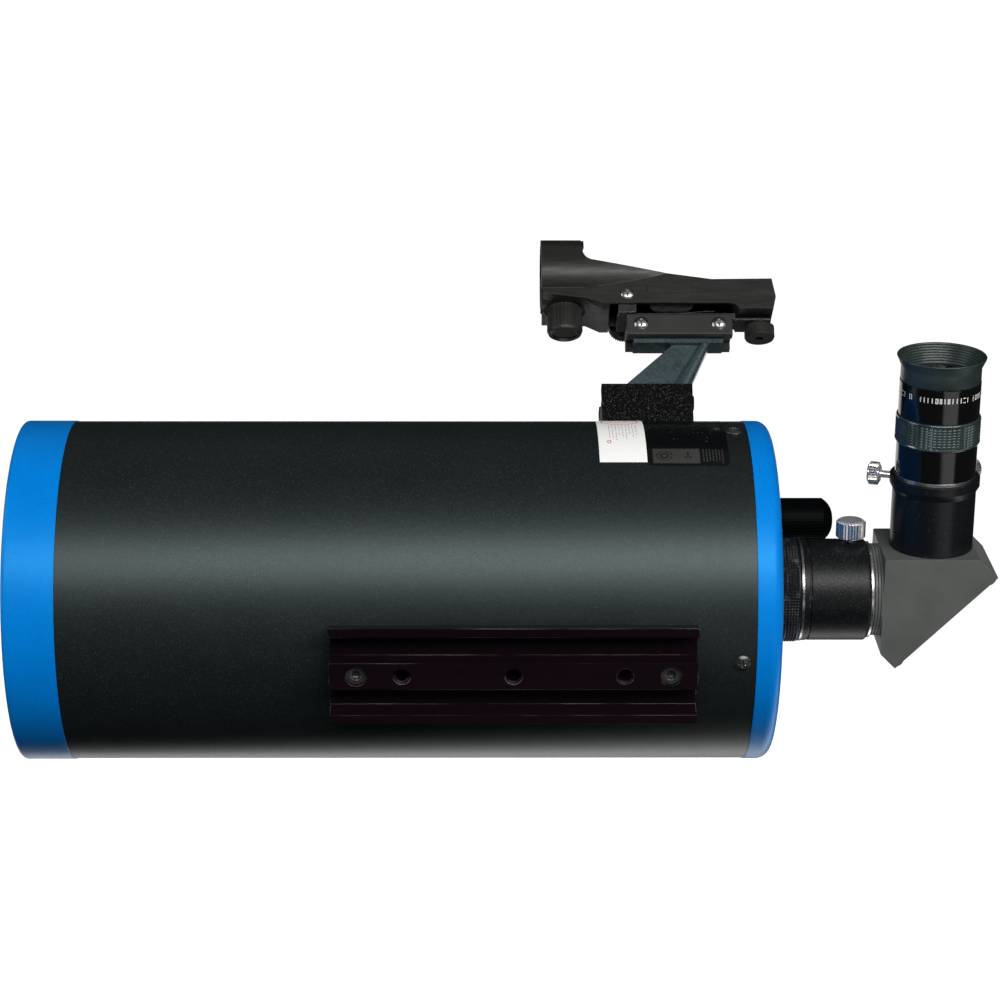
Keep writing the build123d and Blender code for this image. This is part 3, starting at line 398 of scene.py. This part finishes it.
brass = surface("brass", (0.72, 0.50, 0.20), 0.28, metal=1.0, mottle=0.1, grain_scale=1500, edge=0.15)
cork = surface(
    "cork", (0.38, 0.23, 0.11), 0.85, mottle=0.35, mottle_scale=500, grain_scale=900, grain_depth=0.15,
)
paper = surface(
    "label_white", (0.93, 0.93, 0.92), 0.38, mottle=0.03, grain_scale=1600, grain_depth=0.01, edge=0.05,
    coat=0.2,
)
# Painted light: the white label paper glows a little, so that it looks brighter than the lamps alone make
# it.
PAPER_PAINTED_GLOW = 0.14
glow = paper.node_tree.nodes["Principled BSDF"]
glow.inputs["Emission Color"].default_value = (1, 1, 1, 1)
glow.inputs["Emission Strength"].default_value = PAPER_PAINTED_GLOW
film = surface(
    "label_dark", (0.0022, 0.0032, 0.0036), 0.18, spec=0.35, mottle=0.2, grain_scale=900,
    grain_depth=0.006, edge=0.05,
)
print_grey = surface(
    "print_grey", (0.045, 0.045, 0.044), 0.35, spec=0.3, mottle=0.1, grain_scale=2000, edge=0.0
)
print_dark = surface(
    "print_dark", (0.004, 0.004, 0.004), 0.35, spec=0.2, mottle=0.1, grain_scale=2000, edge=0.0
)
print_pale = surface("print_pale", (0.42, 0.42, 0.45), 0.35, mottle=0.15, grain_scale=2000, edge=0.0)
print_red = surface("print_red", (0.72, 0.09, 0.06), 0.4, mottle=0.15, grain_scale=2000, edge=0.0)
print_white = surface("print_white", (0.75, 0.75, 0.72), 0.4, mottle=0.12, grain_scale=2500, edge=0.0)
mirror = surface(
    "mirror_glass", (0.90, 0.92, 0.93), 0.03, metal=1.0, mottle=0.02, rough_spread=0.01,
    grain_strength=0.0, edge=0.1,
)
diode = surface("emitter_red", (0.55, 0.02, 0.02), 0.25, coat=0.3, mottle=0.1, edge=0.05)
lens_glass = clear_glass("optical_glass", (0.93, 0.97, 0.98))
finder_glass = clear_glass("finder_glass", (0.75, 0.86, 0.92))
prism_glass = clear_glass("prism_glass", (0.94, 0.96, 0.96))

finishes = {
    "main_tube": tube_paint,
    "front_cell": blue_paint,
    "rear_cell": blue_paint,
    "corrector_plate": lens_glass,
    "corrector_gasket": cork,
    "corrector_retainer": anodised_plain,
    "retainer_screws": black_steel,
    "secondary_holder": finder_plastic,
    "collimation_plate": anodised_plain,
    "collimation_screws": steel,
    "secondary_mirror": mirror,
    "secondary_baffle": anodised_plain,
    "cell_screws": black_steel,
    "primary_baffle": anodised_plain,
    "mirror_carrier": anodised_plain,
    "primary_mirror": mirror,
    "mirror_lock_ring": anodised_plain,
    "focus_bushing": brass,
    "focus_shaft": steel,
    "focus_knob": knob_rubber,
    "rear_neck": anodised_plain,
    "union_washer": steel,
    "visual_back": cast_black,
    "visual_back_screw": knurled_chrome,
    "diagonal_nose": chrome,
    "diagonal_housing": housing_black,
    "diagonal_prism": prism_glass,
    "diagonal_cover": housing_black,
    "cover_screws": black_steel,
    "eyepiece_holder": holder_black,
    "holder_screw_front": knurled_chrome,
    "holder_screw_rear": knurled_chrome,
    "eyepiece_barrel": chrome,
    "eyepiece_body": gloss_black,
    "eyepiece_top": gloss_black,
    "field_lens": lens_glass,
    "eye_lens": lens_glass,
    "dovetail_plate": anodised,
    "plate_screws": black_steel,
    "caution_label": paper,
    "spec_label": film,
    "finder_shoe": shoe_black,
    "shoe_screws": black_steel,
    "shoe_clamp_screw": knurled_chrome,
    "finder_stem": stem_paint,
    "finder_clamp": clamp_plastic,
    "clamp_screws": steel,
    "finder_cradle": black_steel,
    "leaf_spring": dim_steel,
    "pivot_screw": steel,
    "finder_body": finder_plastic,
    "finder_lens": finder_glass,
    "finder_emitter": diode,
    "coin_cell": dim_steel,
    "brightness_knob": finder_plastic,
    "altitude_knob": finder_plastic,
    "azimuth_wheel": finder_plastic,
}
for name, finish in finishes.items():
    mesh = nodes[name].data
    mesh.materials.clear()
    mesh.materials.append(finish)

# ---- knurled rubber grip on the eyepiece ----
low, high = span("eyepiece_grip", eye_axis)
GRIP_BASE = 17.72 * MM
GRIP_TIP = 18.4 * MM
GRIP_BORE = 16.64 * MM
GRIP_END = 17.9 * MM
GRIP_LIP = 18.35 * MM
GRIP_LIP_WIDTH = 0.9 * MM
GRIP_BAND_START = 1.2 * MM
GRIP_ROWS = 8
GRIP_COLUMNS = 54
band_low, band_high = low + GRIP_BAND_START, high - GRIP_BAND_START
loops = [(low, GRIP_BORE), (low, GRIP_END), (low + GRIP_LIP_WIDTH, GRIP_LIP), (band_low, GRIP_BASE)]
first_row = len(loops) - 1
loops += knurled_loops(band_low, band_high, GRIP_ROWS, GRIP_BASE)[1:]
last_row = len(loops) - 1
loops += [(high - GRIP_LIP_WIDTH, GRIP_LIP), (high, GRIP_END), (high, GRIP_BORE)]
grip = turned(
    "grip_knurl", eye_axis, loops, GRIP_COLUMNS, "eyepiece", grip_rubber,
    peaks={i: GRIP_TIP for i in range(first_row, last_row)},
)
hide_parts("eyepiece_grip")

# ---- ribbed rubber eyecup ----
low, high = span("eyecup", eye_axis)
CUP_BORE = 15.04 * MM
CUP_RIBS = 7
CUP_THROAT = 18.5 * MM
CUP_NARROWING = 3.3 * MM
CUP_RIB_CUT = 0.5 * MM
CUP_RIB_STEP = 0.15 * MM
CUP_SIDES = 96
loops = [
    (low, CUP_BORE),
    (low, 17.1 * MM),
    (low + 0.3 * MM, 17.3 * MM),
    (high - 5.0 * MM, 17.3 * MM),
    (high - 4.4 * MM, 17.42 * MM),
    (high - 0.8 * MM, 19.05 * MM),
    (high - 0.3 * MM, 19.2 * MM),
    (high, 19.0 * MM),
    (high, 18.6 * MM),
]
# Inside, each rib is a slope with a step at its foot, and the throat narrows towards the lens.
rib_top = high - 0.3 * MM
rib_foot = low + 3.4 * MM
step = (rib_foot - rib_top) / CUP_RIBS
for i in range(CUP_RIBS):
    start = i / CUP_RIBS
    t = rib_top + (rib_foot - rib_top) * start
    radius = CUP_THROAT - CUP_NARROWING * start
    loops += [(t, radius), (t + 0.45 * step, radius - CUP_RIB_CUT), (t + 0.6 * step, radius - CUP_RIB_STEP)]
loops += [(rib_foot, CUP_BORE)]
cup = turned("eyecup_rubber", eye_axis, loops, CUP_SIDES, "eyepiece", rubber)
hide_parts("eyecup")

# ---- knurled coupling ring ----
low, high = span("coupling_ring", tube_axis)
RING_TIP = 23.2 * MM
RING_BASE = 22.75 * MM
RING_BORE = 21.08 * MM
LIP_BORE = 18.62 * MM
LIP_THICK = 1.35 * MM
RING_ROWS = 4
RING_COLUMNS = 108
first_band = (low + 2.4 * MM, low + 6.2 * MM)
second_band = (low + 6.6 * MM, high - 1.0 * MM)
loops = [
    (low, RING_BORE),
    (low, 21.9 * MM),
    (low + 2.0 * MM, 22.7 * MM),
    (first_band[0], RING_BASE),
]
first_row = len(loops) - 1
loops += knurled_loops(*first_band, RING_ROWS, RING_BASE)[1:]
gap_row = len(loops) - 1
loops += knurled_loops(*second_band, RING_ROWS, RING_BASE)
last_row = len(loops) - 1
loops += [
    (high - 0.7 * MM, 22.9 * MM),
    (high - 0.2 * MM, 22.7 * MM),
    (high, 22.3 * MM),
    (high, LIP_BORE),
    (high - LIP_THICK, LIP_BORE),
    (high - LIP_THICK, RING_BORE),
]
ring_peaks = {i: RING_TIP for i in range(first_row, last_row) if i != gap_row}
ring = turned(
    "coupling_knurl", tube_axis, loops, RING_COLUMNS, "coupling_ring", cast_black,
    peaks=ring_peaks,
)
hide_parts("coupling_ring")

# ---- ribbed sleeves on the heads of the four thumb screws ----
SLEEVE_MARGIN = 0.9 * MM
SLEEVE_SUNK = -0.5 * MM
SLEEVE_FOOT = 0.02 * MM
RIB_DEPTH = 0.45 * MM
TIP_DEPTH = 0.3 * MM


def long_axis(name):
    """Axis of a thumb screw, from its shape: its middle, its direction out to the head, and a side."""
    points = [v.co for v in nodes[name].data.vertices]
    middle = sum(points, Vector()) / len(points)
    far = max((q - middle).length for q in points)
    tip = [q for q in points if (q - middle).length > far - TIP_DEPTH]
    along = (middle - sum(tip, Vector()) / len(tip)).normalized()
    return middle, along, along.orthogonal().normalized()


def ribbed_sleeve(name, screw, body, head_radius, head_height, ribs):
    """Deep ribs over the plain flutes of a head."""
    axis = long_axis(screw)
    top = span(screw, axis)[1]
    start, stop = top - head_height + SLEEVE_MARGIN, top - SLEEVE_MARGIN
    count = 2 * ribs
    verts = []
    faces = []
    sunk = (SLEEVE_SUNK, 0.0)
    ribbed = (SLEEVE_FOOT, RIB_DEPTH)
    for t, (foot, raised) in ((start, sunk), (start, ribbed), (stop, ribbed), (stop, sunk)):
        for k in range(count):
            lift = foot + raised * (k % 2)
            verts.append(around(axis, t, head_radius + lift, TURN * k / count))
    for i in range(4):
        j = (i + 1) % 4
        for k in range(count):
            m = (k + 1) % count
            faces.append((i * count + k, i * count + m, j * count + m, j * count + k))
    make_piece(name, verts, faces, body, chrome, range(len(faces)))


# name, CAD node, body, then the head's radius and height in millimetres and its ribs
thumb_screws = (
    ("back_screw_ribs", "visual_back_screw", "back_screw", 6.0, 8.5, 30),
    ("front_screw_ribs", "holder_screw_front", "front_holder_screw", 4.6, 5.6, 26),
    ("rear_screw_ribs", "holder_screw_rear", "rear_holder_screw", 4.6, 5.6, 26),
    ("shoe_screw_ribs", "shoe_clamp_screw", "shoe_screw", 6.0, 7.0, 30),
)
for name, screw, body, radius, height, ribs in thumb_screws:
    ribbed_sleeve(name, screw, body, radius * MM, height * MM, ribs)

# ---- print on the labels and the eyepiece, generic marks only ----
PRINT_LIFT = 0.012 * MM
SECOND_LAYER = 0.013 * MM
STRIP_STEP = 1.2 * MM
SIGN_STROKE = 0.42 * MM
dice = random.Random(5)


def wrapped(name, axis, radius, shapes, body, material):
    """Thin printed shapes on a cylinder. Each is an outline of (t, arc) points in metres."""
    verts = []
    faces = []
    for outline in shapes:
        count = len(outline)
        start = len(verts)
        for depth in (radius + PRINT_LIFT, radius):
            verts += [around(axis, t, depth, arc / radius) for t, arc in outline]
        faces.append(tuple(range(start, start + count)))
        faces.append(tuple(range(start + 2 * count - 1, start + count - 1, -1)))
        for k in range(count):
            m = (k + 1) % count
            faces.append((start + m, start + k, start + count + k, start + count + m))
    make_piece(name, verts, faces, body, material, range(len(faces)))


def label_print(name, shapes, material, lift=0.0):
    """Print on one of the tube's labels."""
    wrapped(name, tube_axis, LABEL_RADIUS + lift, shapes, "optical_tube", material)


def label_arc(lean_degrees):
    """Arc length round a label to a lean from straight up."""
    # The tube axis's start direction is 90 degrees from straight up, and angles grow towards straight up.
    return LABEL_RADIUS * math.radians(90.0 - lean_degrees)


def bar(t, arc, length, width):
    """Small upright rectangle, length along the axis and width around it."""
    return [
        (t - length / 2, arc - width / 2),
        (t + length / 2, arc - width / 2),
        (t + length / 2, arc + width / 2),
        (t - length / 2, arc + width / 2),
    ]


def filled(t0, t1, arc0, arc1):
    """Rectangle cut into narrow strips, so that it follows the tube."""
    steps = max(1, int(abs(arc1 - arc0) / STRIP_STEP))
    cut = [arc0 + (arc1 - arc0) * k / steps for k in range(steps + 1)]
    return [[(t0, a), (t1, a), (t1, b), (t0, b)] for a, b in zip(cut, cut[1:])]


def oval(t, arc, half_t, half_arc, thick, steps=40):
    """Oval outline of short strips."""
    strips = []
    for k in range(steps):
        a, b = TURN * k / steps, TURN * (k + 1) / steps
        strips.append(
            [
                (t + half_t * math.cos(a), arc + half_arc * math.sin(a)),
                (t + half_t * math.cos(b), arc + half_arc * math.sin(b)),
                (t + (half_t - thick) * math.cos(b), arc + (half_arc - thick) * math.sin(b)),
                (t + (half_t - thick) * math.cos(a), arc + (half_arc - thick) * math.sin(a)),
            ]
        )
    return strips


def dashes(t, arc, stop, length, widths, gaps):
    """Row of dashes like small print. Widths and gaps are ranges in millimetres."""
    row = []
    while arc < stop:
        width = dice.uniform(*widths) * MM
        row.append(bar(t, arc + width / 2, length, width))
        arc += width + dice.uniform(*gaps) * MM
    return row


def sign(t, arc, length, width):
    """Meaningless upright sign, a frame, a post or two short bars, drawn at random."""
    kind = dice.choice(("frame", "post", "bars"))
    if kind == "post":
        return [bar(t, arc, length, SIGN_STROKE)]
    rungs = [bar(t + side * (length - SIGN_STROKE) / 2, arc, SIGN_STROKE, width) for side in (-1, 1)]
    if kind == "bars":
        return rungs
    post = length - 2 * SIGN_STROKE
    posts = [bar(t, arc + side * (width - SIGN_STROKE) / 2, post, SIGN_STROKE) for side in (-1, 1)]
    return rungs + posts


# The white label has a red badge with a bar, a small red oval and nine rows of small print.
BADGE_LEAN = -9.0
SMALL_OVAL_LEAN = -30.0
ROWS_LEAN = -14.5
ROWS_END_LEANS = (-29.0, -24.0)
CAUTION_ROWS = 9
CAUTION_FIRST_ROW = 5.0
CAUTION_ROW_PITCH = 1.45
low, high = span("caution_label", tube_axis)
label_mid = (low + high) / 2
reds = oval(label_mid, label_arc(BADGE_LEAN), 8.2 * MM, 6.0 * MM, 0.6 * MM)
reds.append(bar(label_mid, label_arc(BADGE_LEAN), 9.5 * MM, 0.9 * MM))
reds += oval(low + 4.6 * MM, label_arc(SMALL_OVAL_LEAN), 0.9 * MM, 1.5 * MM, 0.4 * MM, 16)
label_print("caution_marks_red", reds, print_red)
rows = []
for k in range(CAUTION_ROWS):
    t = low + (CAUTION_FIRST_ROW + CAUTION_ROW_PITCH * k) * MM
    stop = label_arc(dice.uniform(*ROWS_END_LEANS))
    rows += dashes(t, label_arc(ROWS_LEAN), stop, 0.34 * MM, (0.5, 1.5), (0.35, 0.8))
label_print("caution_marks_grey", rows, print_pale)

# The dark label has a grey strip with two badges on it, rows of small print beyond it and loose specks.
STRIP_LEANS = (-34.5, -42.3)
STRIP_ENDS = (2.0 * MM, 22.0 * MM)
ROUND_BADGE = 7.0 * MM
LONG_BADGE = 17.0 * MM
SPEC_ROWS = 7
SPEC_FIRST_ROW = 23.6
SPEC_ROW_PITCH = 1.35
SPEC_ROW_MARGIN = 1.2 * MM
SPECKS = 26
SPECK_LEANS = (-31.0, -12.0)
low, high = span("spec_label", tube_axis)
strip_low, strip_high = (label_arc(lean) for lean in STRIP_LEANS)
strip_mid = (strip_low + strip_high) / 2
strip = filled(low + STRIP_ENDS[0], low + STRIP_ENDS[1], strip_low, strip_high)
label_print("spec_strip", strip, print_grey)
# The badges start just above the strip that they lie on.
darks = oval(low + ROUND_BADGE, strip_mid, 3.4 * MM, 3.2 * MM, 0.35 * MM)
darks += oval(low + ROUND_BADGE, strip_mid, 1.9 * MM, 1.8 * MM, 0.6 * MM, 18)
darks += oval(low + LONG_BADGE, strip_mid + 1.1 * MM, 1.6 * MM, 0.9 * MM, 0.35 * MM, 18)
darks.append(bar(low + LONG_BADGE, strip_mid - 1.4 * MM, 0.5 * MM, 2.6 * MM))
label_print("spec_marks_dark", darks, print_dark, SECOND_LAYER)
pales = []
for k in range(SPEC_ROWS):
    t = low + (SPEC_FIRST_ROW + SPEC_ROW_PITCH * k) * MM
    start = strip_low + dice.uniform(0.0, 1.0) * MM
    pales += dashes(t, start, strip_high - SPEC_ROW_MARGIN, 0.5 * MM, (0.5, 1.7), (0.3, 0.6))
for k in range(SPECKS):
    t = low + dice.uniform(5.0, 30.0) * MM
    arc = label_arc(dice.uniform(*SPECK_LEANS))
    pales.append(bar(t, arc, 0.4 * MM, dice.uniform(0.4, 1.2) * MM))
label_print("spec_marks_pale", pales, print_grey)

# A row of small white signs stands for the print round the eyepiece. Widths and gaps are angles.
TOP_RADIUS = 17.505 * MM
SIGNS_UP = 10.7 * MM
SIGN_HEIGHT = 2.3 * MM
SIGN_WIDTHS = (0.06, 0.075, 0.09)
SIGN_GAP = 0.03
BLANK_SHARE = 0.12
low, high = span("eyepiece_top", eye_axis)
marks = []
angle = 0.0
while angle < TURN - SIGN_GAP:
    width = dice.choice(SIGN_WIDTHS)
    if dice.random() > BLANK_SHARE:
        marks += sign(low + SIGNS_UP, (angle + width / 2) * TOP_RADIUS, SIGN_HEIGHT, width * TOP_RADIUS)
    angle += width + SIGN_GAP
wrapped("eyepiece_marks", eye_axis, TOP_RADIUS, marks, "eyepiece", print_white)

# ---- floor, light and camera ----
FLOOR_DROP = 0.16
FLOOR_REACH = 6.0
FLOOR_GLOW = 0.62
floor_z = cad_box[0].z - FLOOR_DROP
corners = [(x * FLOOR_REACH, y * FLOOR_REACH, floor_z) for x, y in ((-1, -1), (1, -1), (1, 1), (-1, 1))]
mesh = bpy.data.meshes.new("floor")
mesh.from_pydata(corners, [], [(0, 1, 2, 3)])
floor = bpy.data.objects.new("floor", mesh)
bpy.context.scene.collection.objects.link(floor)
floor_paint = bpy.data.materials.new("floor_pale")
floor_paint.use_nodes = True
shader = floor_paint.node_tree.nodes["Principled BSDF"]
shader.inputs["Base Color"].default_value = (0.9, 0.9, 0.9, 1)
shader.inputs["Roughness"].default_value = 0.9
shader.inputs["Specular IOR Level"].default_value = 0.1
shader.inputs["Emission Color"].default_value = (1, 1, 1, 1)
shader.inputs["Emission Strength"].default_value = FLOOR_GLOW
mesh.materials.append(floor_paint)
# The floor shows the object's shadow, but it throws no light and no shadow on the object.
floor.visible_diffuse = False
floor.visible_glossy = False
floor.visible_shadow = False

# The background is white to the camera and dimmer as a light.
world = bpy.data.worlds.new("studio")
bpy.context.scene.world = world
world.use_nodes = True
tree = world.node_tree
tree.nodes.clear()
bright = node(tree, "ShaderNodeBackground", Color=(1, 1, 1, 1), Strength=1.05)
dim = node(tree, "ShaderNodeBackground", Color=(0.9, 0.98, 1, 1), Strength=0.02)
path = node(tree, "ShaderNodeLightPath")
pick = node(tree, "ShaderNodeMixShader")
output = node(tree, "ShaderNodeOutputWorld")
link(tree, path.outputs["Is Camera Ray"], pick.inputs[0])
link(tree, dim.outputs[0], pick.inputs[1])
link(tree, bright.outputs[0], pick.inputs[2])
link(tree, pick.outputs[0], output.inputs["Surface"])


def softbox(name, spot, aim, width, height, power, colour=(1, 1, 1)):
    """Rectangular lamp at a spot, turned towards its aim."""
    lamp = bpy.data.lights.new(name, "AREA")
    lamp.shape = "RECTANGLE"
    lamp.size = width
    lamp.size_y = height
    lamp.energy = power
    lamp.color = colour
    made = bpy.data.objects.new(name, lamp)
    made.location = spot
    made.rotation_euler = (Vector(aim) - Vector(spot)).to_track_quat("-Z", "Y").to_euler()
    bpy.context.scene.collection.objects.link(made)
    return made


centre = Vector((-0.02, tube_mid.y, tube_mid.z))
softbox("key", centre + Vector((0.40, -1.5, 0.60)), centre, 2.3, 0.5, 33, (1.0, 0.99, 0.97))
softbox("top", centre + Vector((0.1, 0.1, 1.3)), centre, 1.6, 0.6, 0.3)
softbox("low", centre + Vector((0.75, -1.1, -0.77)), centre, 1.1, 0.35, 1.2)
softbox("right", centre + Vector((1.4, -0.45, 0.3)), centre + Vector((0.15, 0, 0.05)), 0.6, 0.9, 0.7)
softbox("left", centre + Vector((-1.4, -0.4, 0.4)), centre, 0.6, 0.9, 5)
softbox("back", centre + Vector((0.0, 1.5, 0.12)), centre, 1.6, 0.5, 2.5)
under = softbox("under", centre + Vector((0.05, 0.16, -0.195)), centre, 0.9, 0.1, 0.55)
under.visible_camera = False

# This one lights the floor alone, so that it is evenly pale and shows a soft shadow.
sun = bpy.data.lights.new("floor_sun", "SUN")
sun.energy = 1.6
sun.angle = math.radians(50)
sun_lamp = bpy.data.objects.new("floor_sun", sun)
sun_lamp.rotation_euler = (math.radians(12), math.radians(8), 0)
bpy.context.scene.collection.objects.link(sun_lamp)
floor_only = bpy.data.collections.new("floor_only")
floor_only.objects.link(floor)
sun_lamp.light_linking.receiver_collection = floor_only

CAMERA_SPOT = (-0.018, -1.13675, 0.07275)
CAMERA_PAN = -0.0109
camera_data = bpy.data.cameras.new("camera")
camera_data.lens = 99.45
camera_data.sensor_width = 36.0
camera_data.clip_start = 0.01
camera = bpy.data.objects.new("camera", camera_data)
camera.location = CAMERA_SPOT
camera.rotation_euler = (math.pi / 2, 0.0, CAMERA_PAN)
bpy.context.scene.collection.objects.link(camera)
bpy.context.scene.camera = camera
bpy.context.scene.view_settings.view_transform = "Standard"
